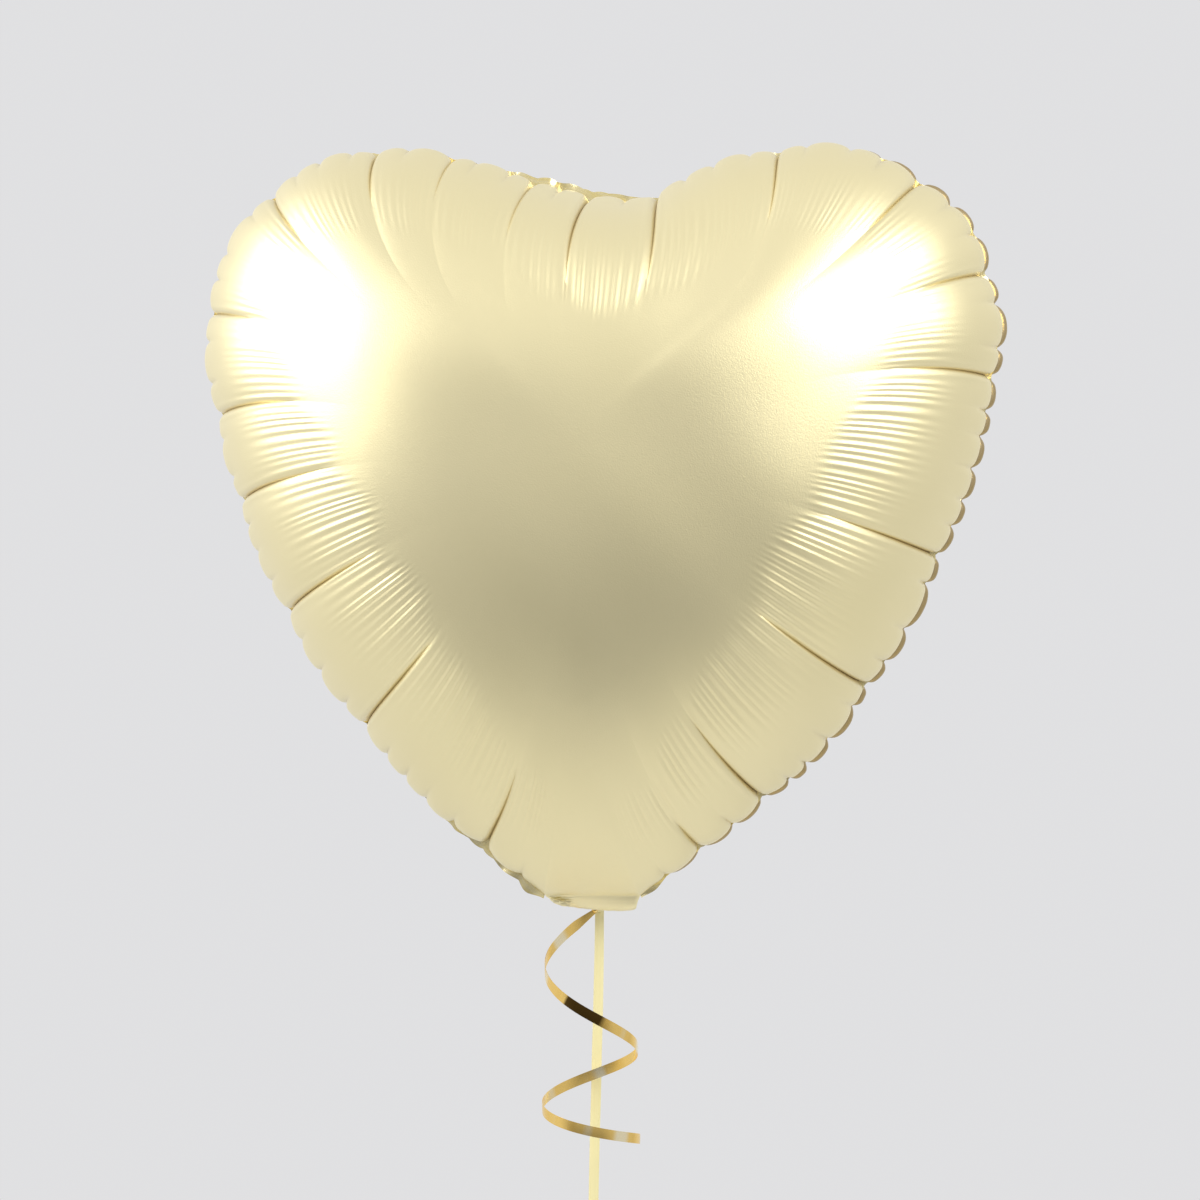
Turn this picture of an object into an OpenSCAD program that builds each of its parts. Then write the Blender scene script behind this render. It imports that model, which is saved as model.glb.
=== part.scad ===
// Heart-shaped foil balloon: two film panels sealed round their edge, a filling neck gathered
// and tied behind, a straight ribbon to hold it by, and a second, curled ribbon.
// Millimetres, +Z up, the front faces -Y and +X is to the right of a person facing it.
// The origin is the centre of the ribbon wraps that tie the gathered neck.

/* [Heart] */
// Width of the inflated heart, edge to edge
heart_w = 400; // [380:2:420]
// Thickness of the inflated heart, front to back
heart_t = 190; // [170:2:200]
// Stand-in thickness of a film panel
film_t = 0.7; // [0.5:0.1:1]
// Width of the heat-sealed border outside the seam
seal_w = 5; // [3:0.5:6]
// Thickness of the sealed border
seal_t = 1; // [0.8:0.1:1.4]
// How far the seam lies in front of the neck tie
seam_lead = 22; // [20:1:26]

/* [Neck and valve] */
// Width of the filling neck where it folds back
neck_w = 42; // [36:1:44]
// Radius of the fold in the neck
fold_r = 4; // [3.6:0.1:4.4]
// Radius of the gathered neck inside the tie
gather_r = 3.6; // [3:0.1:3.7]
// Length of the tail left beyond the tie
tail_len = 32; // [20:1:45]
// Width of the tail's free end
tail_w = 26; // [18:1:32]
// Width of the self-sealing valve films
valve_w = 32; // [24:1:36]
// Height of the valve films above the neck's mouth
valve_h = 75; // [50:1:110]

/* [Ribbons] */
// Width of both ribbons
ribbon_w = 5; // [4:0.5:5]
// Width of the wraps of the straight ribbon round the neck
wrap_w = 6; // [5:0.5:6]
// Outer diameter of the curled ribbon's turns
curl_d = 51; // [44:1:52]
// Lowest point of the curled ribbon, below the tie
curl_drop = 120; // [100:1:130]

/* [Hidden] */

foil = [0.93, 0.89, 0.70];
bare_foil = [0.86, 0.72, 0.36];
clear_film = [0.90, 0.92, 0.93];
lemon = [0.99, 0.95, 0.66];
gold = [0.80, 0.60, 0.22];

// The seam of a 400 mm heart seen from the front, [x, z], from the right side of the neck's
// mouth round both lobes to its left side. The valley between the lobes lies off centre.
SEAM = [[24, 3], [60, 30], [84, 50], [107, 70], [139, 110], [162, 150], [180, 190], [192, 230],
        [201, 270], [199, 300], [184, 337], [151, 364], [114, 374], [74, 369], [44, 357],
        [23, 349], [-4, 352], [-36, 361], [-68, 371], [-100, 375], [-138, 368], [-172, 343],
        [-191, 305], [-193, 265], [-181, 210], [-166, 170], [-146, 130], [-118, 90],
        [-82, 50], [-58, 30], [-24, 3]];
steps = 3;                          // pieces of each span of the seam
rings = 9;                          // rings of a panel, from its edge to its middle
middle = [3, 222];                  // the thickest place of the heart
size_k = heart_w / 400;
seam_y = -seam_lead;
half_t = heart_t / 2 - seal_t / 2;  // rise of one panel
mouth_z = 2.6;                      // top of the neck, just under the panels

// A smooth curve through a list of points, with its ends clamped
function at(p, i) = p[max(0, min(len(p) - 1, i))];
function on_span(p, i, t) = 0.5 * (2 * at(p, i) + (at(p, i + 1) - at(p, i - 1)) * t
    + (2 * at(p, i - 1) - 5 * at(p, i) + 4 * at(p, i + 1) - at(p, i + 2)) * t * t
    + (3 * at(p, i) - at(p, i - 1) - 3 * at(p, i + 1) + at(p, i + 2)) * t * t * t);
function curve(p, n) = concat(
    [for (i = [0:len(p) - 2]) for (k = [0:n - 1]) on_span(p, i, k / n)], [p[len(p) - 1]]);

edge = [for (p = curve(SEAM, steps)) size_k * p];
edge_n = len(edge);

function along(i) = at(edge, i + 1) - at(edge, i - 1);
function outward(i) = [along(i)[1], -along(i)[0]] / norm(along(i));
function smooth(t) = t <= 0 ? 0 : t >= 1 ? 1 : t * t * (3 - 2 * t);

// A closed skin over rings of points: each ring has the same count. Both ends are capped, with
// the faces of a ring that cap lists, or with one flat face
function band(a, b, n) = [for (i = [0:n - 1]) for (f = [[a + i, a + (i + 1) % n, b + (i + 1) % n],
    [a + i, b + (i + 1) % n, b + i]]) f];
module skin(sections, cap = []) {
    n = len(sections[0]);
    last = len(sections) - 1;
    ends = len(cap) > 0 ? cap : [[for (i = [0:n - 1]) i]];
    polyhedron(
        [for (s = sections) for (p = s) p],
        concat([for (f = ends) [for (i = [len(f) - 1:-1:0]) f[i]]],
               [for (k = [0:last - 1]) each band(k * n, (k + 1) * n, n)],
               [for (f = ends) [for (i = f) last * n + i]]));
}

// ---- Film panels ---------------------------------------------------------------------

// How far in a ring lies, 0 at the seam and 1 at the middle, with the rings closer at the seam
function inset_of(k) = pow(k / rings, 1.8);
// Rise of the film there, as a share of half_t: upright at the seam and flat in the middle
function rise_of(t) = pow(1 - pow(1 - t, 3), 0.53);
// The heart is thinner towards its tip
function tip_of(z) = min(1, pow((z + 5) / 190, 0.27));

// One ring of a panel: side is -1 for the front and 1 for the back
function panel_ring(t, side, inner) = [for (p = edge)
    let (ray = p - size_k * middle,
         q = size_k * middle + ray * (1 - t) * (1 - inner * film_t / norm(ray)),
         rise = (half_t * tip_of(q[1]) - inner * film_t) * rise_of(t))
    [q[0], seam_y + side * (seal_t / 2 + rise), q[1]]];
function panel_top(side, inner) = [size_k * middle[0],
    seam_y + side * (seal_t / 2 + half_t - inner * film_t), size_k * middle[1]];

module panel(side) {
    skins = [for (inner = [1, 0]) for (k = [0:rings - 1]) panel_ring(inset_of(k), side, inner)];
    inner_rim = 0;
    outer_rim = rings * edge_n;
    inner_top = 2 * rings * edge_n;
    faces = concat(
        [for (k = [0:rings - 2]) each [for (f = band(inner_rim + k * edge_n,
            inner_rim + (k + 1) * edge_n, edge_n)) [f[2], f[1], f[0]]]],
        [for (k = [0:rings - 2]) each band(outer_rim + k * edge_n,
            outer_rim + (k + 1) * edge_n, edge_n)],
        band(inner_rim, outer_rim, edge_n),
        [for (i = [0:edge_n - 1]) [inner_top, inner_rim + (rings - 1) * edge_n + (i + 1) % edge_n,
            inner_rim + (rings - 1) * edge_n + i]],
        [for (i = [0:edge_n - 1]) [inner_top + 1, outer_rim + (rings - 1) * edge_n + i,
            outer_rim + (rings - 1) * edge_n + (i + 1) % edge_n]]);
    polyhedron(concat([for (s = skins) for (p = s) p], [panel_top(side, 1), panel_top(side, 0)]),
               side < 0 ? faces : [for (f = faces) [f[2], f[1], f[0]]]);
}

module front_panel() { color(foil) panel(-1); }

module back_panel() { color(foil) panel(1); }

// The two films welded together round the heart, open at the neck's mouth
module seal_border() {
    lap = 1; // how far the weld reaches in under the panels' edges
    color(bare_foil)
        translate([0, seam_y + seal_t / 2, 0]) rotate([90, 0, 0])
            linear_extrude(height = seal_t)
                polygon(concat([for (i = [0:edge_n - 1]) edge[i] + seal_w * outward(i)],
                               [for (i = [edge_n - 1:-1:0]) edge[i] - lap * outward(i)]));
}

// ---- Filling neck --------------------------------------------------------------------

fold_y = seam_y + fold_r;
gather_y = -5.5;                    // front end of the gathered length, and minus its back end
neck_wall = 0.6;
neck_gap = 0.1;                     // half the gap between the neck's two films
neck_lip = 0.08;                    // how far their pointed edges reach into that gap
section_step = 10;                  // degrees between points of a neck section
flare_n = 10;                       // steps from the fold to the gathered length

// Middle line of the neck as [y, z, heading]: down, round the fold, then back and up to the tie
neck_line = concat(
    [[seam_y, mouth_z, -90]],
    [for (a = [180:15:285]) [fold_y + fold_r * cos(a), fold_r * sin(a), a - 270]],
    [for (k = [1:flare_n - 1])
        let (s = k / flare_n, y0 = fold_y + fold_r * cos(285), z0 = fold_r * sin(285))
        [y0 + s * (gather_y - y0), z0 * (1 - smooth(s)), 15 + 12 * sin(180 * s) - 15 * s]],
    [[gather_y, 0, 0], [-gather_y, 0, 0]]);

function gathered(k) = min(1, max(0, (k - 6) / (flare_n + 2)));
function neck_half_w(k) = let (s = smooth(gathered(k)))
    (neck_w / 2 + 2.5 * max(0, 1 - k / 3)) * (1 - s) + gather_r * s;
function neck_half_d(k) = let (s = smooth(gathered(k))) 2.5 * (1 - s) + gather_r * s;
// A film's wall at its sides, thicker where they close in, as it is measured across the neck
function neck_side_wall(k) = neck_wall * (1 + 1.4 * sin(180 * gathered(k)));

// One section of a neck film: side is 1 for the front film, outside the fold, and -1 for the back
function neck_section(k, side) =
    let (p = neck_line[k], out = [sin(p[2]), -cos(p[2])] * side,
         w = neck_half_w(k), d = neck_half_d(k), side_wall = neck_side_wall(k))
    [for (q = concat(
            [for (a = [0:section_step:180]) [w * cos(a), d * sin(a)]],
            [[side_wall / 2 - w, -neck_lip]],
            [for (a = [180:-section_step:0]) [(w - side_wall) * cos(a), (d - neck_wall) * sin(a)]],
            [[w - side_wall / 2, -neck_lip]]))
        [-side * q[0], p[0] + out[0] * (q[1] + neck_gap), p[1] + out[1] * (q[1] + neck_gap)]];

// The end of a film is a crescent, filled in between its outer line and its inner line
neck_arc_n = 180 / section_step;
neck_end = concat(
    [[neck_arc_n, neck_arc_n + 1, neck_arc_n + 2], [2 * neck_arc_n + 2, 2 * neck_arc_n + 3, 0]],
    [for (i = [0:neck_arc_n - 1])
        let (j = 2 * neck_arc_n + 2 - i)
        each [[i, i + 1, j - 1], [i, j - 1, j]]]);

module neck_film(side) {
    skin([for (k = [0:len(neck_line) - 1]) neck_section(k, side)], neck_end);
}

module neck_front() { color(foil) neck_film(1); }

module neck_back() { color(foil) neck_film(-1); }

// Two clear films lie flat against each other in the neck's mouth and hold the gas in
valve_t = 0.3;
valve_gap = 0.1;
valve_foot = 1.2;                   // lowest point of the valve films, inside the neck

module valve_film(side) {
    translate([-valve_w / 2, seam_y + (side < 0 ? -valve_gap - valve_t : valve_gap), valve_foot])
        cube([valve_w, valve_t, valve_h]);
}

module valve_front() { color(clear_film, 0.5) valve_film(-1); }

module valve_back() { color(clear_film, 0.5) valve_film(1); }

// The rest of the neck, beyond the tie: a flat leaf that spreads again and droops a little
tail_y = 5.9;                       // where the tail starts, close behind the gathered length
tail_steps = 8;
tail_tip_t = 1;                     // thickness of the free end
tail_droop = 5;

function tail_section(y, z, w, d) = [for (a = [0:30:330]) [w * cos(a), y, z + d * sin(a)]];

module tail_end() {
    body = [for (k = [0:tail_steps])
        let (s = k / tail_steps)
        tail_section(tail_y + 2.2 + s * (tail_len - 2.2), -tail_droop * s * s,
                     (gather_r - 0.2) * (1 - smooth(s)) + tail_w / 2 * smooth(s),
                     (gather_r - 0.2) * (1 - smooth(2 * s)) + tail_tip_t / 2 * smooth(2 * s))];
    color(foil)
        skin(concat([tail_section(tail_y, 0, 0.8, 0.8), tail_section(tail_y + 0.7, 0, 2.2, 2.2)],
                    body));
}

// ---- Ties ----------------------------------------------------------------------------

tie_bore_r = 3.9;
tie_outer_r = 5;
knot_r = 2.6;
knot_z = -5.2;
curl_knot = [-1, -4.4, -5.1];
curl_knot_r = 2;

module wraps(outer_r, y0, y1) {
    translate([0, y1, 0]) rotate([90, 0, 0])
        difference() {
            cylinder(r = outer_r, h = y1 - y0, $fn = 48);
            translate([0, 0, -1]) cylinder(r = tie_bore_r, h = y1 - y0 + 2, $fn = 48);
        }
}

// A knot hangs under its wraps, and the gathered neck stays clear of it
module knot(centre, r) {
    difference() {
        translate(centre) sphere(r = r, $fn = 32);
        rotate([90, 0, 0]) cylinder(r = tie_bore_r, h = 40, center = true, $fn = 48);
    }
}

module neck_tie() {
    color(lemon) union() {
        wraps(tie_outer_r, 3 - wrap_w, 3);
        knot([0.8, 0, knot_z], knot_r);
    }
}

module curl_tie() {
    color(gold) union() {
        wraps(tie_outer_r - 0.2, -5.4, -3.2);
        intersection() {
            knot(curl_knot, curl_knot_r);
            translate([-10, -13.2, -20]) cube([20, 10, 40]);
        }
    }
}

// ---- Ribbons -------------------------------------------------------------------------

ribbon_t = 1.2;                     // stand-in thickness of a ribbon

// Route of the straight ribbon, [x, z], from its knot down to the knot of its loop
STRAIGHT = [[0.8, -8.2], [0.7, -18], [0.6, -28], [0.4, -38], [0.2, -48], [0, -58], [-0.3, -68],
            [-0.6, -78], [-0.8, -88], [-1, -98], [-1.3, -108], [-1.6, -118], [-1.8, -128],
            [-2, -138], [-2.2, -148], [-2.4, -157.5]];
// The hand loop, [x, z] from the middle of its knot, round and back
LOOP = [[-0.8, -2], [-2.6, -6], [-5.5, -12], [-8.5, -19], [-10, -26], [-9, -32], [-6, -37],
        [0, -39], [6, -37], [9, -32], [10, -26], [8.5, -19], [5.5, -12], [2.6, -6], [0.8, -2]];
loop_at = [-2.4, -159.5];           // middle of the loop's knot, [x, z]
loop_knot_r = 3;
top_turn = 36;                      // degrees that the ribbon is turned at its top

// Eight-sided section of a flat ribbon across a heading in the XZ plane, turned about it
function ribbon_section(p, head, turn) =
    let (u = [cos(head), 0, sin(head)], v = [0, 1, 0],
         a = cos(turn) * u + sin(turn) * v, b = -sin(turn) * u + cos(turn) * v)
    [for (c = [22.5:45:337.5])
        [p[0], 0, p[1]] + ribbon_w / 2 / cos(22.5) * cos(c) * a + ribbon_t / 2 * sin(c) * b];
function heading(p, i) = let (d = at(p, i + 1) - at(p, i - 1)) atan2(d[0], -d[1]);

module straight_ribbon() {
    n = len(STRAIGHT) - 1;
    color(lemon) skin([for (i = [0:n])
        ribbon_section(STRAIGHT[i], heading(STRAIGHT, i), top_turn * (1 - smooth(i / n)))]);
}

module loop_knot() {
    color(lemon) translate([loop_at[0], 0, loop_at[1]]) sphere(r = loop_knot_r, $fn = 32);
}

module ribbon_loop() {
    route = [for (p = LOOP) p + loop_at];
    color(lemon) skin([for (i = [0:len(route) - 1])
        ribbon_section(route[i], heading(route, i), 90)]);
}

// The space that the curled ribbon's turns fill, narrow at its knot
curl_at = [-0.5, -30];              // middle of the turns, [x, y]
curl_top = 30;                      // how far below the tie the turns reach their full width

module curled_ribbon() {
    color(gold) hull() {
        translate([curl_knot[0], curl_knot[1], -8.1]) cylinder(r = ribbon_w / 2, h = 0.5, $fn = 24);
        translate([curl_at[0], curl_at[1], -curl_drop])
            cylinder(d = curl_d, h = curl_drop - curl_top, $fn = 48);
    }
}

front_panel();
back_panel();
seal_border();
neck_front();
neck_back();
valve_front();
valve_back();
tail_end();
neck_tie();
curl_tie();
straight_ribbon();
loop_knot();
ribbon_loop();
curled_ribbon();
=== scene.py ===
import math

import bmesh
import bpy
import numpy as np
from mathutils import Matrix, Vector


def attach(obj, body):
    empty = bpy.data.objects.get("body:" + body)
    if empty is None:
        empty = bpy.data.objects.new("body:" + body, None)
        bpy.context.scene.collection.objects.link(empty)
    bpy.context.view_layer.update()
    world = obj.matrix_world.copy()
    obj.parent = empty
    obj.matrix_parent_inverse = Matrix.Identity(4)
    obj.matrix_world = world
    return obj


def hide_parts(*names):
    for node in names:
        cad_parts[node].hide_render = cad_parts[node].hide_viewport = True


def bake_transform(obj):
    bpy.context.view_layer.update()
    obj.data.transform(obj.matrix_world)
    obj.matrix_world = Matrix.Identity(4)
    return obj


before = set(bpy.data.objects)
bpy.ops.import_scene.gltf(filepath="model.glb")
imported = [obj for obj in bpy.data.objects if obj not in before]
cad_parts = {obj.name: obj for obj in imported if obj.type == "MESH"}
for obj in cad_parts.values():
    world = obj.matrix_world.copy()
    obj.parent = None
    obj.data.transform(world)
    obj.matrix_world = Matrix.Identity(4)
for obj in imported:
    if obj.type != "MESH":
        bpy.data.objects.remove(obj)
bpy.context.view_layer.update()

# ---- Camera --------------------------------------------------------------------------
# Level, a little above the heart's tip and a few degrees to its right, and far enough off
# that the heart is hardly drawn in perspective.

camera_turn = math.radians(7)
camera_reach = 2.3
camera_aim = Vector((0.0037, -0.022, 0.150))
seen_width = 0.598

camera_data = bpy.data.cameras.new("camera")
camera_data.sensor_width = 36
camera_data.lens = camera_data.sensor_width * camera_reach / seen_width
camera_data.clip_end = 30
camera = bpy.data.objects.new("camera", camera_data)
towards_camera = Vector((math.sin(camera_turn), -math.cos(camera_turn), 0))
camera.location = camera_aim + camera_reach * towards_camera
camera.rotation_euler = (math.pi / 2, 0, camera_turn)
bpy.context.collection.objects.link(camera)
bpy.context.scene.camera = camera
bpy.context.scene.view_settings.view_transform = "Standard"

# ---- Straight ribbon -----------------------------------------------------------------
# Matt pale lemon polypropylene ribbon, 5 mm wide, pulled straight by the floating balloon.
# It leaves the knot under the neck's wraps and ends in a loop for a hand or a weight.

ribbon_w = 0.005
ribbon_film_t = 0.00016

# Middle of the ribbon: x and z in mm, the loop's from its knot
straight_route = [
    (0.8, -5.6), (0.7, -18), (0.6, -28), (0.4, -38), (0.2, -48), (0, -58), (-0.3, -68),
    (-0.6, -78), (-0.8, -88), (-1, -98), (-1.3, -108), (-1.6, -118), (-1.8, -128), (-2, -138),
    (-2.2, -148), (-2.4, -157.5)]
loop_knot_at = (-2.4, -159.5)
loop_route = [
    (-0.8, -2), (-2.6, -6), (-5.5, -12), (-8.5, -19), (-10, -26), (-9, -32), (-6, -37), (0, -39),
    (6, -37), (9, -32), (10, -26), (8.5, -19), (5.5, -12), (2.6, -6), (0.8, -2)]
ribbon_top_turn = math.radians(36)
straight_crown = 0.0002


class Value:
    """A shader socket that can be added, multiplied and subtracted like a number."""

    def __init__(self, surface, socket):
        self.surface = surface
        self.socket = socket

    def maths(self, operation, *terms):
        return self.surface.node("ShaderNodeMath", {"operation": operation}, terms)

    def __add__(self, other):
        return self.maths("ADD", self, other)

    def __sub__(self, other):
        return self.maths("SUBTRACT", self, other)

    def __rsub__(self, other):
        return self.maths("SUBTRACT", other, self)

    def __mul__(self, other):
        return self.maths("MULTIPLY", self, other)

    __radd__ = __add__
    __rmul__ = __mul__


class Surface:
    """One material and the nodes that make it."""

    def __init__(self, name, world=False, **constants):
        self.material = (bpy.data.worlds if world else bpy.data.materials).new(name)
        self.material.use_nodes = True
        self.tree = self.material.node_tree
        self.shader = self.tree.nodes["Background" if world else "Principled BSDF"]
        for socket, value in constants.items():
            self.shader.inputs[socket.replace("_", " ")].default_value = value

    def node(self, kind, settings=(), inputs=(), output=0):
        """Adds a node, with its settings first, then its sockets' values or links."""
        made = self.tree.nodes.new(kind)
        for setting, value in dict(settings).items():
            setattr(made, setting, value)
        for socket, value in inputs.items() if isinstance(inputs, dict) else enumerate(inputs):
            if isinstance(value, Value):
                self.tree.links.new(value.socket, made.inputs[socket])
            else:
                made.inputs[socket].default_value = value
        return Value(self, made.outputs[output])

    def mix(self, share, one, other):
        """A colour between two, by share."""
        return self.node("ShaderNodeMix", {"data_type": "RGBA"}, {0: share, 6: one, 7: other}, 2)

    def noise(self, place, scale, detail=2, stretch=(1, 1, 1)):
        """Noise from 0 to 1 at a place, stretched along its axes."""
        moved = self.node("ShaderNodeMapping", {}, {"Vector": place, "Scale": stretch})
        return self.node("ShaderNodeTexNoise", {}, {"Vector": moved, "Scale": scale, "Detail": detail})

    def paint(self, socket, value):
        self.tree.links.new(value.socket, self.shader.inputs[socket])

    def bump(self, height, distance):
        """Relief of a height from 0 to 1, distance metres deep."""
        self.paint("Normal", self.node("ShaderNodeBump", {}, {"Distance": distance, "Height": height}))


def curve_through(points, pieces):
    """A smooth curve through points, with each span in this many pieces."""
    p = np.array(points, float)
    p = np.vstack([p[:1], p, p[-1:]])
    t = (np.arange(pieces) / pieces)[:, None]
    spans = [
        0.5 * (2 * b + (c - a) * t + (2 * a - 5 * b + 4 * c - d) * t**2
               + (3 * b - a - 3 * c + d) * t**3)
        for a, b, c, d in zip(p, p[1:], p[2:], p[3:])]
    return np.vstack(spans + [p[-1:]])


def lengths_along(path):
    """Distance of each point of a path from its start."""
    return np.concatenate([[0], np.cumsum(np.linalg.norm(np.diff(path, axis=0), axis=1))])


def unit(vectors):
    return vectors / np.maximum(np.linalg.norm(vectors, axis=-1), 1e-12)[..., None]


def sheet_piece(name, surface, grids, marks=(), thickness=0, joined=False):
    """A piece made of grids of corners, by column and row, with a mark for each if wanted."""
    bm = bmesh.new()
    bm.loops.layers.uv.new("sheet")
    mark = bm.verts.layers.float.new("fold")
    for k, place in enumerate(grids):
        columns, rows = place.shape[:2]
        made = bmesh.ops.create_grid(
            bm, x_segments=columns - 1, y_segments=rows - 1, size=1, calc_uvs=True)
        for v in made["verts"]:
            i = round((v.co.x + 1) / 2 * (columns - 1))
            j = round((v.co.y + 1) / 2 * (rows - 1))
            v.co = place[i, j]
            if marks:
                v[mark] = marks[k][i, j]
    if joined:
        bmesh.ops.remove_doubles(bm, verts=bm.verts, dist=1e-6)
    if thickness:
        bm.normal_update()
        bmesh.ops.solidify(bm, geom=bm.faces[:], thickness=thickness)
        bmesh.ops.recalc_face_normals(bm, faces=bm.faces)
    return piece_of(name, surface, bm)


def piece_of(name, surface, bm):
    """The finished object of a bmesh."""
    for face in bm.faces:
        face.smooth = True
    mesh = bpy.data.meshes.new(name)
    bm.to_mesh(mesh)
    bm.free()
    mesh.set_sharp_from_angle(angle=math.radians(50))
    mesh.materials.append(surface)
    piece = bpy.data.objects.new(name, mesh)
    bpy.context.collection.objects.link(piece)
    return piece


def band(path, across, width, crown):
    """Corners of a flat ribbon along path, its width lying along across, a little domed."""
    across = unit(across)
    domed = unit(np.cross(np.gradient(path, axis=0), across))
    off = np.linspace(-0.5, 0.5, 7)[None, :, None]
    return path[:, None] + across[:, None] * off * width + domed[:, None] * (1 - 4 * off**2) * crown


def lemon_surface():
    """Matt lemon ribbon with fine lines drawn along it."""
    surface = Surface("lemon ribbon", Roughness=0.42)
    sheet = surface.node("ShaderNodeUVMap", {"uv_map": "sheet"})
    lines = surface.noise(sheet, 3, 1, (1.5, 6, 1))
    patches = surface.noise(sheet, 4, 1, (9, 1, 1))
    colour = surface.mix(lines, (0.86, 0.76, 0.36, 1), (0.96, 0.88, 0.52, 1))
    surface.paint("Base Color", surface.mix(patches * 0.4, colour, (0.93, 0.85, 0.44, 1)))
    surface.paint("Roughness", lines * 0.2 + 0.34)
    surface.bump(lines, 0.000003)
    return surface.material


lemon = lemon_surface()
straight_points = curve_through(straight_route, 4) / 1000
loop_points = (curve_through(loop_route, 4) + loop_knot_at) / 1000
flat_path = np.vstack([straight_points, loop_points])
straight_path = np.insert(flat_path, 1, 0, axis=1)
down = np.linspace(0, 1, len(straight_points))
turn = np.concatenate([ribbon_top_turn * (1 - down) ** 2, np.full(len(loop_points), math.pi / 2)])
heading = unit(np.gradient(flat_path, axis=0))
sideways = np.stack([-heading[:, 1], np.zeros(len(heading)), heading[:, 0]], axis=1)
straight_across = np.cos(turn)[:, None] * sideways + np.sin(turn)[:, None] * np.array([0, 1.0, 0])
straight_ribbon = sheet_piece(
    "straight_ribbon_strip", lemon,
    [band(straight_path, straight_across, ribbon_w, straight_crown)], thickness=ribbon_film_t)
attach(straight_ribbon, "ribbon")
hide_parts("straight_ribbon", "ribbon_loop")

# ---- Curled ribbon -------------------------------------------------------------------
# Shiny metallic gold curling ribbon, 5 mm wide, drawn over a blade so that it hangs in a
# slack spiral of three and a half half-turns. It is tied on beside the straight one, and
# pinched narrower where it leaves its knot.

curl_middle_y = -0.030
curl_r, curl_r_more = 0.0224, 0.0023
curl_top_z, curl_fall, curl_closing = -0.006, 0.0528, 0.0060
curl_start = np.array([-0.001, -0.0052, -0.0062])
curl_end = 3.5
curl_lead = 0.35
curl_pinch, curl_pinch_run = 0.45, 0.022
curl_crown = 0.0001
dark_from, dark_to = 0.243, 0.325


def curl_point(n):
    """The spiral after n half-turns from the back, round by the left, closing up downwards."""
    radius = curl_r + curl_r_more * n / curl_end
    return np.array([-radius * math.sin(math.pi * n),
                     curl_middle_y + radius * math.cos(math.pi * n),
                     curl_top_z - curl_fall * n + curl_closing * n * n])


def led_curl_point(n):
    """The same, but leaving the knot smoothly."""
    free = min(1, n / curl_lead)
    return curl_point(n) + (1 - free * free * (3 - 2 * free)) * (curl_start - curl_point(0))


def gold_surface():
    """Mirror-like gold film with soft bands across it of painted light and dark reflection, and
    scratched along by the blade. One stretch of the second half-turn is painted dark, a painted
    reflection of a dark room."""
    surface = Surface("gold ribbon", Metallic=0.9)
    sheet = surface.node("ShaderNodeUVMap", {"uv_map": "sheet"})
    along = surface.node("ShaderNodeSeparateXYZ", {}, (sheet,))
    scratches = surface.noise(sheet, 2, 2, (4, 12, 1))
    # Painted reflection: soft bands along the ribbon, painted lighter and darker gold where a mirror
    # would show the light and dark of the room.
    painted_reflection_bands = surface.noise(sheet, 1, 1, (20, 0, 1))
    painted_dull_share = surface.node("ShaderNodeMapRange", {}, (painted_reflection_bands, 0.30, 0.45, 1.0, 0.0))
    light = surface.node("ShaderNodeMapRange", {}, (painted_reflection_bands, 0.52, 0.64, 0.0, 1.0))
    painted_reflection_gold = surface.mix(light, (1.0, 0.70, 0.22, 1), (1.0, 0.92, 0.66, 1))
    # Darker gold where the painted reflection is dull, and where the blade scratched it.
    scratched_and_painted_dull = surface.mix(painted_dull_share * 0.6 + scratches * 0.3, painted_reflection_gold, (0.78, 0.48, 0.09, 1))
    # Painted dark reflection: one stretch of the second half-turn painted near black, as where it
    # mirrors a dark room.
    dark = (surface.node("ShaderNodeMapRange", {}, (along, dark_from, dark_from + 0.005, 0.0, 1.0))
            - surface.node("ShaderNodeMapRange", {}, (along, dark_to - 0.01, dark_to, 0.0, 1.0)))
    surface.paint("Base Color", surface.mix(dark, scratched_and_painted_dull, (0.10, 0.055, 0.01, 1)))
    surface.paint("Roughness", scratches * 0.14 + 0.10)
    surface.bump(scratches, 0.000004)
    return surface.material


gold = gold_surface()
curl_path = np.array([led_curl_point(n) for n in np.linspace(0, curl_end, 190)])
curl_along = unit(np.gradient(curl_path, axis=0))
curl_across = np.array([0, 0, 1.0]) - curl_along * curl_along[:, 2:]
curl_w = ribbon_w * np.minimum(1, curl_pinch + lengths_along(curl_path) / curl_pinch_run)
curled_ribbon = sheet_piece(
    "curled_ribbon_strip", gold,
    [band(curl_path, curl_across, curl_w[:, None, None], curl_crown)], thickness=ribbon_film_t)
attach(curled_ribbon, "curl")
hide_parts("curled_ribbon")

# ---- Film panels ---------------------------------------------------------------------
# Two sheets of metallised film, printed satin pale yellow, welded round a heart and blown up
# tight, so that their spare edge gathers at the weld in creases, puffs and fine ripples.
# Below they run on as the neck, folded under the heart and gathered into the tie.

seam_line = [
    (24, 3), (60, 30), (84, 50), (107, 70), (139, 110), (162, 150), (180, 190), (192, 230),
    (201, 270), (199, 300), (184, 337), (151, 364), (114, 374), (74, 369), (44, 357), (23, 349),
    (-4, 352), (-36, 361), (-68, 371), (-100, 375), (-138, 368), (-172, 343), (-191, 305),
    (-193, 265), (-181, 210), (-166, 170), (-146, 130), (-118, 90), (-82, 50), (-58, 30),
    (-24, 3)]
heart_middle = np.array([0.003, 0.222])
weld_y = -0.022
half_thickness = 0.0945
tip_length = 0.230
drawn_in = 0.003
column_step = 0.00074
mouth_columns = 56
mouth_rise = 0.003

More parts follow.
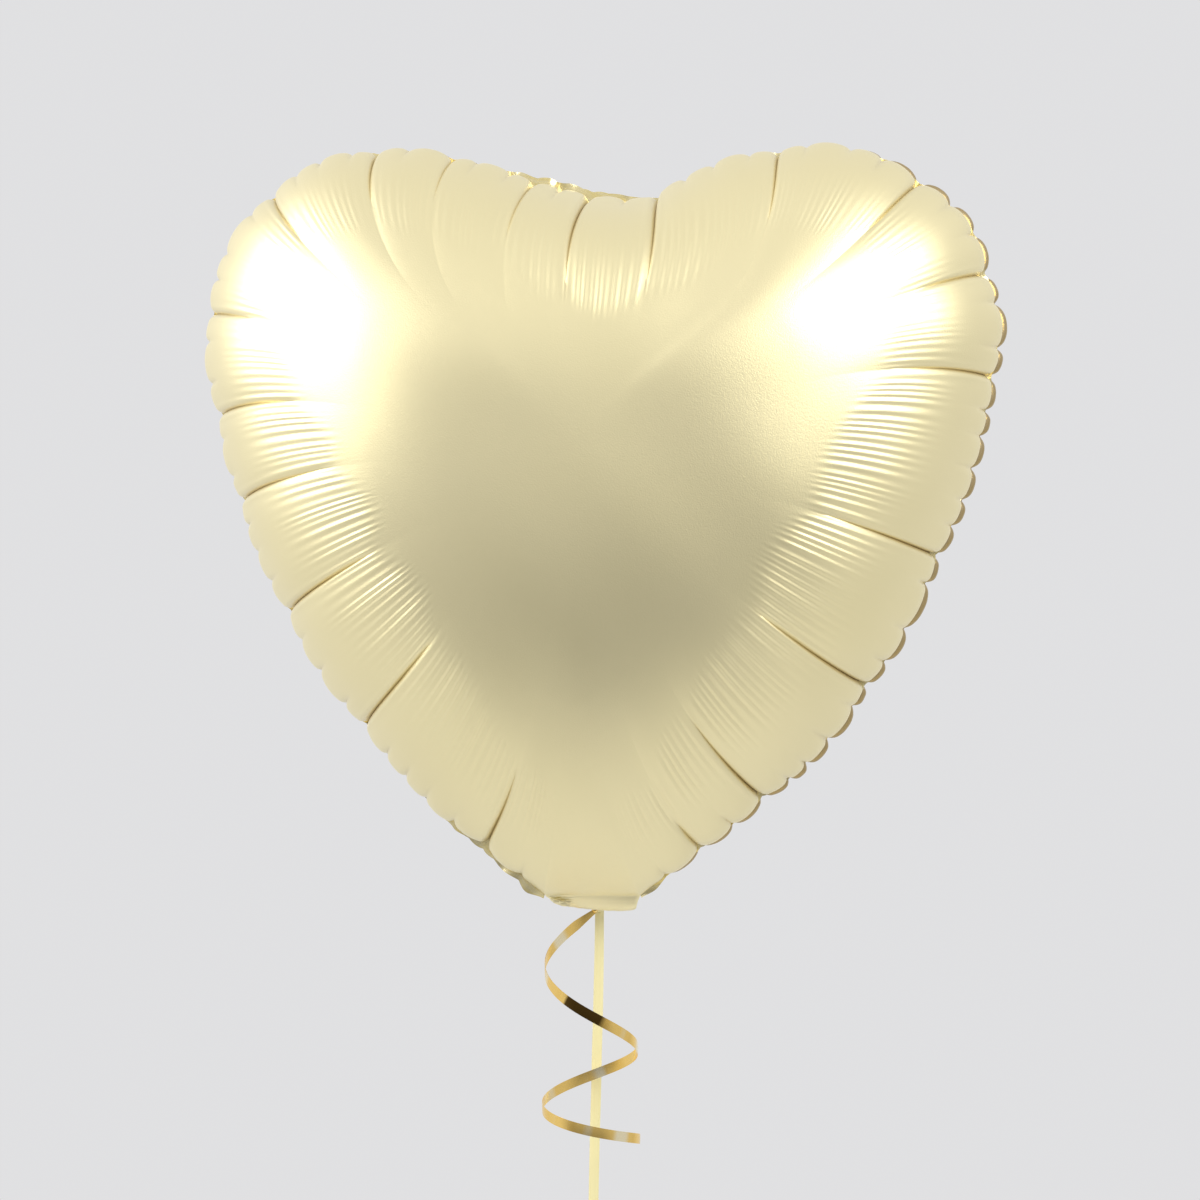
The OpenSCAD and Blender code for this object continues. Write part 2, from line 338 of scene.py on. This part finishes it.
# Where deep creases meet the weld, [x, z] in mm, how far they run in, in mm, and how deep
# they are as a share of the deepest
creases = [
    (-108, 374, 30, 0.8), (-70, 368, 24, 0.5), (-158, 349, 34, 0.8), (-29, 357, 32, 0.6),
    (0, 352, 57, 1), (33, 351, 56, 1), (93, 371, 38, 0.8), (162, 355, 34, 0.8),
    (196, 311, 28, 0.8), (198, 260, 46, 0.9), (171, 172, 58, 1), (136, 108, 60, 1),
    (85, 52, 52, 1), (53, 28, 18, 0.6), (-52, 30, 46, 0.9), (-112, 90, 64, 1),
    (-152, 145, 62, 1), (-176, 200, 60, 1), (-187, 243, 50, 0.9), (-192, 294, 30, 0.8)]

# The neck on its way down, back and into the tie: y, z, half width and half depth, in mm
neck_line = [
    (-22, 3, 24, 3), (-21.6, 0.4, 22.8, 2.2), (-20.4, -2.4, 21.9, 1.9), (-18, -4, 21, 2.3),
    (-14.5, -3.3, 17.5, 3), (-10, -1.5, 9.5, 3.6), (-5.5, 0, 3.9, 3.5), (-3, 0, 3.5, 3.5),
    (0, 0, 3.5, 3.5), (3, 0, 3.5, 3.5), (6, 0, 3.3, 3.3)]
neck_slant = 0.0035
neck_pleat = 0.0009
neck_crumple = 0.0007

# How far the film stands up between creases, and over what distance from the weld it sinks
puff_rise, puff_reach = 0.0018, 0.017
pillow_rise, pillow_reach = 0.0026, 0.045
edge_rise, edge_reach = 0.0012, 0.020
back_bulge = 0.0022
crease_depth, crease_w = 0.0023, 0.0007
small_crease_depth, small_crease_w = 0.0012, 0.0008
lip_share, lip_off, lip_w = 0.16, 0.0030, 0.0015
# Painted shade along the creases, its width and strength, and the painted dark reflection along the
# back panel's rim, its width and fade
crease_shade_w, crease_shade_share = 0.0008, 0.8
rim_reflection_w, rim_reflection_fade = 0.012, 0.006
ripple_rise, ripple_pitch = 0.00027, 0.0044
cleft_x = 0.015


def smooth(t):
    t = np.clip(t, 0, 1)
    return t * t * (3 - 2 * t)


seam_curve = curve_through(seam_line, 40) / 1000
seam_run = lengths_along(seam_curve)
flank_n = round(seam_run[-1] / column_step)
flank_at = np.linspace(0, seam_run[-1], flank_n)
flank = np.stack([np.interp(flank_at, seam_run, seam_curve[:, k]) for k in (0, 1)], axis=1)
mouth_across = np.linspace(-1, 1, mouth_columns + 2)[1:-1]
mouth = np.stack([mouth_across * flank[0, 0], np.full(mouth_columns, flank[0, 1])], axis=1)
rim = np.vstack([flank, mouth])
rim_at = lengths_along(rim)
in_mouth = np.arange(len(rim)) >= flank_n
mouth_lift = mouth_rise * np.sqrt(1 - np.concatenate([np.ones(flank_n), mouth_across]) ** 2)
from_mouth = np.where(in_mouth, 0, np.minimum(rim_at, flank_at[-1] - rim_at))


def evened(values, count):
    """values averaged over this many columns each way, all round the rim."""
    weights = np.hanning(2 * count + 1)
    wide = np.concatenate([values[-count:], values, values[:count]])
    return np.convolve(wide, weights / weights.sum(), "valid")


def outward(count):
    """Which way is out of the heart at each column, evened over this many each way."""
    x, z = (np.roll(rim, -1, axis=0) - np.roll(rim, 1, axis=0)).T
    return unit(np.stack([evened(z, count), -evened(x, count)], axis=1))


rim_out = outward(16)
broad_out = outward(90)


class Gathers:
    """Where the creases of both panels meet the weld, by distance round it."""

    def __init__(self, seed):
        chance = np.random.default_rng(seed)
        found = sorted(
            (rim_at[np.argmin(np.hypot(*(flank - (x / 1000, z / 1000)).T))], length / 1000, depth)
            for x, z, length, depth in creases)
        self.at, self.length, self.depth = np.array(found).T
        self.deep = np.concatenate([[0], self.at, [flank_at[-1]]])
        small = []
        for start, stop in zip(self.deep, self.deep[1:]):
            count = max(1, round((stop - start) / 0.0165))
            small += [start + (stop - start) * (k + chance.uniform(-0.22, 0.22)) / count
                      for k in range(1, count)]
        self.small = np.array(small)
        self.small_length = chance.uniform(0.002, 0.008, len(small))
        self.small_depth = chance.uniform(0.3, 0.9, len(small))
        self.all = np.sort(np.concatenate([self.deep, self.small]))


gathers = Gathers(11)


def between(places, at):
    """How far at is from the middle of its two neighbours in places, 0 to 1, and their gap."""
    i = np.clip(np.searchsorted(places, at, "right") - 1, 0, len(places) - 2)
    gap = places[i + 1] - places[i]
    return np.abs(2 * np.clip((at - places[i]) / gap, 0, 1) - 1), gap


to_deep = np.abs(rim_at[:, None] - gathers.at)
to_small = np.abs(rim_at[:, None] - gathers.small)
pulled_in = (0.0020 * (gathers.depth * np.exp(-to_deep / 0.0032)).sum(axis=1)
             + 0.0009 * (gathers.small_depth * np.exp(-to_small / 0.0018)).sum(axis=1))
pulled_in *= smooth(from_mouth / 0.02)
weld = rim - rim_out * (drawn_in * smooth(from_mouth / 0.02))[:, None]

# Rows from the weld inward, close together where the film is creased
row_run = np.interp(np.arange(50), [0, 6, 16, 39, 49], [0, 0.006, 0.030, 0.125, 0.225]) / 0.225


def rise_by(share):
    """Rise of a tight panel from 0 at the weld to 1 in the middle, by its nearness to the weld."""
    return (1 - np.clip(share, 0, 1) ** 3) ** 0.53


out_reach, in_reach = 0.42, 0.35
shares = 1 - np.linspace(0, 1, 4001) ** 2.5
share_run = lengths_along(np.stack([shares * 0.185, rise_by(shares) * half_thickness], axis=1))
row_share = np.interp(row_run * share_run[-1], share_run, shares)
t = np.linspace(0, 1, 2001)
bend_share = (1 - t) ** 3 + 3 * (1 - t) ** 2 * t * (1 - out_reach) + 3 * (1 - t) * t**2 * in_reach
row_t = np.interp(-row_share, -bend_share, t)


def tight_panel(side):
    """A panel with no gathers: its corners by column and row, the same on the flat, and how far
    in from the weld each is."""
    t = row_t[None, :, None]
    ray = weld - heart_middle
    reach = np.linalg.norm(ray, axis=1)[:, None]
    at_cleft = (np.exp(-((rim[:, :1] - cleft_x) / 0.07) ** 2)
                * smooth((rim[:, 1:] - 0.25) / 0.05))
    handle = reach * (out_reach + 0.33 * at_cleft)
    flat = ((1 - t) ** 3 * weld[:, None] + t**3 * heart_middle
            + 3 * (1 - t) ** 2 * t * (weld - broad_out * handle)[:, None]
            + 3 * (1 - t) * t**2 * (heart_middle + ray * in_reach)[:, None])
    inward = np.linalg.norm(flat - weld[:, None], axis=2)
    broad_reach = evened(reach[:, 0], 150)[:, None]
    share = np.linalg.norm(flat - heart_middle, axis=2) / (
        reach + (broad_reach - reach) * smooth(inward / 0.09))
    from_tip = np.clip((flat[..., 1] + 0.005) / tip_length, 0.001, 1)
    tip = (1 - (1 - from_tip) ** 2) ** 0.35
    rise = np.hypot(half_thickness * tip * rise_by(share), mouth_lift[:, None] * share**30)
    place = np.stack([flat[..., 0], weld_y + side * (0.0001 + rise), flat[..., 1]], axis=2)
    broad = np.apply_along_axis(evened, 0, place.reshape(len(place), -1), 80).reshape(place.shape)
    place += (broad - place) * smooth((inward - 0.010) / 0.045)[..., None]
    return place, flat, inward


def puffs(side, walked, inward):
    """Lift of the film between creases: small puffs at the weld on pillows between deep creases."""
    off_puff, puff_w = between(gathers.all, rim_at[:, None])
    off_pillow, pillow_w = between(gathers.deep, rim_at[:, None])
    at_weld = np.exp(-(walked / puff_reach) ** 2)
    lift = ((1 - off_puff**2.3) * puff_rise * np.clip(puff_w / 0.016, 0.5, 1.3) * at_weld
            + (1 - off_pillow**3) * pillow_rise * np.clip(pillow_w / 0.06, 0.3, 1)
            * np.exp(-(inward / pillow_reach) ** 2.5)
            + edge_rise * np.exp(-(walked / edge_reach) ** 2))
    if side > 0:
        right = smooth(rim[:, 0] / 0.12) * (1 - smooth((rim[:, 1] - 0.352) / 0.03))
        lift += back_bulge * right[:, None] * (1 - off_puff**3) * at_weld
    return lift


def crease_lines(inward):
    """Lift of the creases, with a low lip on each side, and the share of painted dark gold shade in
    them.
    """
    lift = np.zeros_like(inward)
    fold = np.zeros_like(inward)
    for off, length, depth, deepest, width in (
            (to_deep, gathers.length, gathers.depth, crease_depth, crease_w),
            (to_small, gathers.small_length, gathers.small_depth,
             small_crease_depth, small_crease_w)):
        for k in range(len(length)):
            near = off[:, k] < 0.012
            beside = off[near, k, None]
            fade = np.clip(1 - inward[near] / length[k], 0, 1) ** 0.7
            lip = lip_share * np.exp(-((beside - lip_off) / lip_w) ** 2)
            lift[near] -= deepest * depth[k] * (np.exp(-beside / width) - lip) * fade
            # Painted shade: a dark gold line down each crease valley, stronger in deeper creases.
            crease_shade_strength = crease_shade_share * min(1, deepest * depth[k] / crease_depth)
            painted_crease_shade = np.exp(-beside / crease_shade_w) * fade * crease_shade_strength
            fold[near] = np.maximum(fold[near], painted_crease_shade)
    return lift, fold


def ripples(flat, inward):
    """Lift of the fine ripples at the inner ends of the pillows, faint in the lobes."""
    off_pillow = between(gathers.deep, rim_at)[0]
    reach_in = np.interp(rim_at, gathers.at, np.maximum(gathers.length, 0.036)) * (
        1 + 0.16 * (1 - off_pillow**2))
    within = inward / reach_in[:, None]
    band_share = smooth((within - 0.20) / 0.40) * (1 - smooth((within - 0.84) / 0.20))
    chance = np.random.default_rng(5)
    knots = np.arange(0, rim_at[-1] + 0.004, 0.004)
    strength = np.interp(rim_at, knots, chance.uniform(0.3, 1.2, len(knots)))
    turn = 2 * math.pi * rim_at
    wander = 1.1 * np.sin(turn / 0.031) + 0.8 * np.sin(turn / 0.0193 + 1)
    wave = np.cos(turn / ripple_pitch + wander) * strength
    in_lobe = smooth((flat[..., 1] - 0.235) / 0.05) * (
        1 - np.exp(-((flat[..., 0] - cleft_x) / 0.045) ** 2))
    return ripple_rise * wave[:, None] * band_share * (1 - 0.62 * in_lobe)


def unevenness(flat):
    """Slow, shallow dents over the tight middle."""
    x, z = flat[..., 0], flat[..., 1]
    return (np.sin(x * 47 + 1.3) * np.sin(z * 39 + 0.4) * 0.0004
            + np.sin(x * 83 + z * 61) * 0.0002)


def panel_grid(side):
    """Corners of a panel by column and row, and the share of painted dark gold shade or reflection at
    each.
    """
    place, flat, inward = tight_panel(side)
    round_it = np.roll(place, -1, axis=0) - np.roll(place, 1, axis=0)
    normal = unit(np.cross(round_it, np.gradient(place, axis=1))) * -side
    normal[:, -1] = (0, side, 0)
    steps = np.linalg.norm(np.diff(place, axis=1), axis=2)
    walked = np.cumsum(np.pad(steps, ((0, 0), (1, 0))), axis=1)
    inset = pulled_in[:, None] * np.exp(-walked / 0.012)
    place[..., 0] -= rim_out[:, None, 0] * inset
    place[..., 2] -= rim_out[:, None, 1] * inset
    creased, fold = crease_lines(inward)
    lift = puffs(side, walked, inward) + creased + ripples(flat, inward)
    lift *= (1 - np.exp(-walked / 0.0011)) * smooth(from_mouth / 0.022)[:, None]
    lift += smooth(walked / 0.08) * unevenness(flat)
    place += normal * lift[..., None]
    place[:, -1] = place[:, -1].mean(axis=0)
    # Painted dark reflection: on the back panel a band along the weld is painted dark gold, standing
    # in for the dark room it mirrors.
    if side > 0:
        fold = np.maximum(fold, 1 - smooth((walked - rim_reflection_w) / rim_reflection_fade))
    return place, fold


def neck_grid(side, mouth_edge):
    """Corners of this side of the neck, going on from the panel's edge at the mouth."""
    y, z, half_w, half_d = (curve_through(neck_line, 6) / 1000).T
    down = unit(np.stack([np.gradient(y), np.gradient(z)], axis=1))
    run = lengths_along(np.stack([y, z], axis=1))
    run /= run[-1]
    u = np.linspace(-1, 1, len(mouth_edge))[:, None]
    pleat = neck_pleat * np.exp(-((run - 0.62) / 0.2) ** 2) + 0.00015 * run
    bulge = half_d * np.sqrt(1 - u**2) + np.cos(u * 27 + 3 * np.sin(u * 4)) * pleat * (1 - u**2)
    slant = neck_slant * (1 - u) / 2 * smooth(run / 0.2) * (1 - smooth((run - 0.3) / 0.3))
    if side < 0:
        at_left_end = np.exp(-((u + 0.72) / 0.22) ** 2)
        at_fold = smooth(run / 0.05) * (1 - smooth((run - 0.22) / 0.15))
        bulge += neck_crumple * at_left_end * at_fold * np.sin(run * 110 + u * 9)
    place = np.stack([u * half_w, y - side * bulge * down[:, 1],
                      z + side * bulge * down[:, 0] + slant], axis=2)
    place[:, 0] = mouth_edge
    return place


def satin_surface():
    """Satin pale yellow print on metallised film, turned dark gold as painted shade in the creases and
    as a painted dark reflection along the back panel's rim.
    """
    surface = Surface("satin film", Metallic=0.88, Coat_Weight=1, Coat_Roughness=0.55, Coat_IOR=2.1)
    spot = surface.node("ShaderNodeTexCoord", output=3)
    grain = surface.noise(spot, 1400, 2)
    cloud = surface.noise(spot, 9, 2)
    fold = surface.node("ShaderNodeAttribute", {"attribute_name": "fold"}, output=2)
    satin = surface.mix(cloud, (0.90, 0.79, 0.40, 1), (0.94, 0.83, 0.46, 1))
    # The marked share turns the satin dark gold: painted shade in the creases, and a painted dark
    # reflection along the back panel's rim.
    surface.paint("Base Color", surface.mix(fold, satin, (0.40, 0.26, 0.04, 1)))
    surface.paint("Roughness", 0.37 + grain * 0.08 - fold * 0.2)
    surface.bump(grain, 0.00009)
    return surface.material


satin = satin_surface()


def film_panel(name, side, *nodes):
    """One panel with its half of the neck, closed round the heart, facing outwards."""
    place, fold = panel_grid(side)
    place = np.vstack([place, place[:1]])
    fold = np.vstack([fold, fold[:1]])
    neck = neck_grid(side, place[flank_n - 1:, 0])
    no_fold = np.zeros(neck.shape[:2])
    if side < 0:
        grids, marks = [place[::-1], neck], [fold[::-1], no_fold]
    else:
        grids, marks = [place, neck[::-1]], [fold, no_fold]
    panel = sheet_piece(name, satin, grids, marks, joined=True)
    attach(panel, "envelope")
    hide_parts(*nodes)


film_panel("front_film", -1, "front_panel", "neck_front")
film_panel("back_film", 1, "back_panel", "neck_back")

# ---- Sealed border -------------------------------------------------------------------
# The flat edge where the two films are welded, bare gold foil 3 to 7 mm wide. It lies in
# the groove between the front and back puffs, and buckles where the weld is gathered.

border_w = 0.0031
border_t = 0.0001
border_lean, border_ruffle = 0.0013, 0.0004
# Stretches where it stands out past the puffs: x and z in mm, and its extra width in mm
standing = [(-34, 358, 2.6), (-24, 355, 3.6), (-12, 353, 3.8), (0, 351, 3.6), (12, 350, 3.0),
            (150, 364, 1.4), (186, 333, 1.8), (-74, 44, 2.4), (-66, 38, 3.0), (-54, 27, 3.6),
            (-42, 17, 3.8), (-31, 8, 3)]


def border_grid():
    """Corners of the border, from the weld outward, buckled more and more."""
    pick = slice(0, flank_n, 2)
    at = rim_at[pick]
    extra = np.zeros(len(at))
    for x, z, more in standing:
        there = rim_at[np.argmin(np.hypot(*(flank - (x / 1000, z / 1000)).T))]
        extra = np.maximum(extra, more / 1000 * np.exp(-((at - there) / 0.012) ** 2))
    chance = np.random.default_rng(23)
    knots = np.arange(0, rim_at[-1] + 0.005, 0.005)
    buckle = np.interp(at, knots, chance.uniform(-1, 1, len(knots)))
    ruffle = np.interp(at, knots, chance.uniform(-1, 1, len(knots)))
    out = np.linspace(-0.06, 1, 7)[None, :]
    taper = 0.4 + 0.6 * smooth(from_mouth[pick] / 0.009)
    width = ((border_w + extra + border_ruffle * ruffle) * taper)[:, None]
    flat = weld[pick, None] + rim_out[pick, None] * (out * width - pulled_in[pick, None])[..., None]
    lean = border_lean * buckle + border_ruffle * ruffle
    lean = lean[:, None] * np.clip(out, 0, 1) ** 1.3
    return np.stack([flat[..., 0], weld_y + lean, flat[..., 1]], axis=2)


def bare_foil_surface():
    """Bare metallised film, glossy pale gold, with the fine cross lines of the welding bar."""
    surface = Surface("bare foil", Metallic=0.75)
    sheet = surface.node("ShaderNodeUVMap", {"uv_map": "sheet"})
    lines = surface.noise(sheet, 2, 1, (900, 1, 1))
    patches = surface.noise(sheet, 2, 2, (60, 2, 1))
    surface.paint("Base Color", surface.mix(patches, (0.90, 0.70, 0.18, 1), (1.0, 0.95, 0.72, 1)))
    surface.paint("Roughness", patches * 0.15 + 0.12)
    surface.bump(lines, 0.00006)
    return surface.material


bare_foil = bare_foil_surface()
border = sheet_piece("sealed_border", bare_foil, [border_grid()], thickness=border_t)
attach(border, "envelope")
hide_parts("seal_border")

# ---- Valve films ---------------------------------------------------------------------
# Two thin clear strips inside the neck that press together and keep the gas in.

valve_w, valve_h, valve_foot = 0.032, 0.075, 0.006
valve_t = 0.00005
valve_gap, valve_wave = 0.0006, 0.00035


def clear_surface():
    """Clear, slightly cloudy polyethylene."""
    surface = Surface("clear film", Transmission_Weight=0.9, IOR=1.5,
                      Base_Color=(0.93, 0.95, 0.95, 1))
    haze = surface.noise(surface.node("ShaderNodeTexCoord", output=3), 120, 2)
    surface.paint("Roughness", haze * 0.2 + 0.08)
    return surface.material


clear = clear_surface()


def valve_film(name, side, node):
    """One flat strip, waved a little where the two cling together."""
    x = np.linspace(-valve_w / 2, valve_w / 2, 17)[:, None]
    z = valve_foot + np.linspace(0, valve_h, 31)[None, :]
    y = weld_y + side * (valve_gap + valve_wave * np.cos(z * 260 + x * 180))
    film = sheet_piece(name, clear, [np.stack(np.broadcast_arrays(x, y, z), axis=2)],
                       thickness=valve_t)
    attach(film, "envelope")
    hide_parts(node)


valve_film("valve_film_front", -1, "valve_front")
valve_film("valve_film_back", 1, "valve_back")

# ---- Tail end ------------------------------------------------------------------------
# The last of the neck beyond the tie: the same film, flat again but still pleated from being
# gathered, with its mouth open a little. It droops a little towards its end.

tail_from, tail_to, tail_half_w, tail_droop = 0.006, 0.038, 0.013, 0.005
tail_root_r = 0.0033
tail_mouth_gap = 0.0006
tail_pleat = 0.0014


def tail_grid():
    """Corners of the tail round its flattened mouth and along to its end."""
    a = np.linspace(0, 2 * math.pi, 97)[:, None]
    s = np.linspace(0, 1, 41)[None, :]
    half_w = tail_root_r + (tail_half_w - tail_root_r) * smooth(s) ** 0.8
    half_d = tail_root_r * (1 - smooth(s * 1.8)) + tail_mouth_gap
    pleat_h = tail_pleat * smooth(s * 2.2) * (1 - 0.45 * s) + 0.0002
    pleat = pleat_h * np.cos(np.cos(a) * 14 + 1 + s)
    end = 0.0009 * np.cos(np.cos(a) * 5) * smooth(s * 4 - 3)
    x = half_w * np.cos(a)
    y = tail_from + (tail_to - tail_from) * s + end
    z = half_d * np.sin(a) + pleat - tail_droop * s * s
    return np.stack(np.broadcast_arrays(x, y, z), axis=2)


tail_places = tail_grid()
tail = sheet_piece(
    "tail_leaf", satin, [tail_places], [np.zeros(tail_places.shape[:2])], joined=True)
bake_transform(tail)
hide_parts("tail_end")

# ---- Ties ----------------------------------------------------------------------------
# Each ribbon is wound round the gathered neck and knotted underneath: the lemon one three
# times, and the gold one once beside it, on the side of the fold.

neck_gather_r = 0.0037
wrap_round = 0.00035
knot_film_t = 0.0002


def wound(bm, outer_r, y0, y1, turns):
    """Adds the rounded wraps of a ribbon round the Y axis."""
    steps = turns * 6
    profile = [bm.verts.new((neck_gather_r, y0, 0))]
    for k in range(steps + 1):
        swell = wrap_round * math.sin(math.pi * k / 6) ** 2
        profile.append(bm.verts.new((outer_r - wrap_round + swell, y0 + (y1 - y0) * k / steps, 0)))
    profile.append(bm.verts.new((neck_gather_r, y1, 0)))
    edges = [bm.edges.new(pair) for pair in zip(profile, profile[1:] + profile[:1])]
    bmesh.ops.spin(bm, geom=profile + edges, cent=(0, 0, 0), axis=(0, 1, 0), dvec=(0, 0, 0),
                   angle=2 * math.pi, steps=48, use_merge=True)


def knot_grid(centre, radius):
    """Corners of a ribbon pulled into a tight ball: three turns, each on a different slant."""
    t = np.linspace(0, 6 * math.pi, 150)
    slant = t / (6 * math.pi) * 2.4
    first = np.stack([np.cos(slant), np.sin(slant), 0 * t], axis=1)
    second = np.stack([-np.sin(slant) * 0.4, np.cos(slant) * 0.4, np.full(len(t), 0.92)], axis=1)
    size = radius * (0.80 + 0.20 * t / t[-1])
    path = (np.cos(t)[:, None] * first + np.sin(t)[:, None] * second) * size[:, None]
    across = np.cross(np.gradient(path, axis=0), path)
    return band(path, across, radius * 1.15, -radius * 0.18) + centre


def tie_piece(name, surface, wraps, knot_at, knot_r, node):
    """A ribbon's wraps with its knot, as one piece."""
    bm = bmesh.new()
    wound(bm, *wraps)
    bmesh.ops.recalc_face_normals(bm, faces=bm.faces)
    ball = sheet_piece("knot", surface, [knot_grid(knot_at, knot_r)], thickness=knot_film_t)
    bm.from_mesh(ball.data)
    bpy.data.objects.remove(ball)
    tie = piece_of(name, surface, bm)
    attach(tie, "tie")
    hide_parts(node)


tie_piece("lemon_tie", lemon, (0.005, -0.003, 0.003, 3), (0.0008, 0, -0.0052), 0.0017,
          "neck_tie")
tie_piece("gold_tie", gold, (0.0048, -0.0054, -0.0032, 1), (-0.001, -0.0046, -0.0054), 0.0014,
          "curl_tie")

# ---- Loop knot -----------------------------------------------------------------------
# The straight ribbon's own overhand knot, pulled tight, which closes the loop at its lower
# end. The ribbon and its loop are one length, from the knot at the neck.

loop_knot_r = 0.0026
loop_knot = sheet_piece(
    "loop_knot_ball", lemon,
    [knot_grid((loop_knot_at[0] / 1000, 0, loop_knot_at[1] / 1000), loop_knot_r)],
    thickness=knot_film_t)
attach(loop_knot, "ribbon")
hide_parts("loop_knot")

# ---- Floor and studio light ----------------------------------------------------------
# A plain pale floor, out of view under the balloon, two large softboxes in front on either
# side, and an even pale room.

bpy.ops.mesh.primitive_plane_add(size=2.6, location=(0, 0.3, -1.1))
floor = bpy.context.object
floor.name = "studio_floor"
floor_surface = Surface("studio floor", Base_Color=(0.74, 0.74, 0.75, 1), Roughness=0.8)
floor.data.materials.append(floor_surface.material)


def softbox(name, azimuth, elevation, width, height, power):
    """A soft light aimed at the heart, from an azimuth to the right of its front."""
    data = bpy.data.lights.new(name, "AREA")
    data.shape = "RECTANGLE"
    data.size, data.size_y = width, height
    data.energy = power
    light = bpy.data.objects.new(name, data)
    a, e = math.radians(azimuth), math.radians(elevation)
    away = Vector((math.sin(a) * math.cos(e), -math.cos(a) * math.cos(e), math.sin(e)))
    light.location = Vector((0, -0.03, 0.22)) + away * 1.5
    light.rotation_euler = away.to_track_quat("Z", "Y").to_euler()
    bpy.context.collection.objects.link(light)


softbox("left_softbox", -67, 23, 1.25, 1.15, 19.5)
softbox("right_softbox", 51, 26, 1.25, 0.95, 18.5)

# The room behind is pale and even, and a little dimmer past the right. In front it is dimmer
# as well, most of all low down.
room = Surface("studio room", world=True, Color=(0.985, 0.985, 1, 1))
way = room.node("ShaderNodeTexCoord")
along_y = room.node("ShaderNodeSeparateXYZ", {}, (way,), 1)
upward = room.node("ShaderNodeSeparateXYZ", {}, (way,), 2)
in_front = room.node("ShaderNodeMapRange", {"interpolation_type": "SMOOTHSTEP"},
                     (along_y, -0.28, -0.88, 0.0, 1.0))
low = room.node("ShaderNodeMapRange", {"interpolation_type": "SMOOTHSTEP"},
                (upward, 0.35, -0.55, 0.0, 1.0))
across_x = room.node("ShaderNodeSeparateXYZ", {}, (way,), 0)
behind_right = room.node("ShaderNodeMapRange", {"interpolation_type": "SMOOTHSTEP"},
                         (across_x, 0.62, 0.92, 0.0, 1.0))
room.paint("Strength", 0.76 - in_front * (low * 0.35 + 0.25) - (1 - in_front) * behind_right * 0.15)
bpy.context.scene.world = room.material
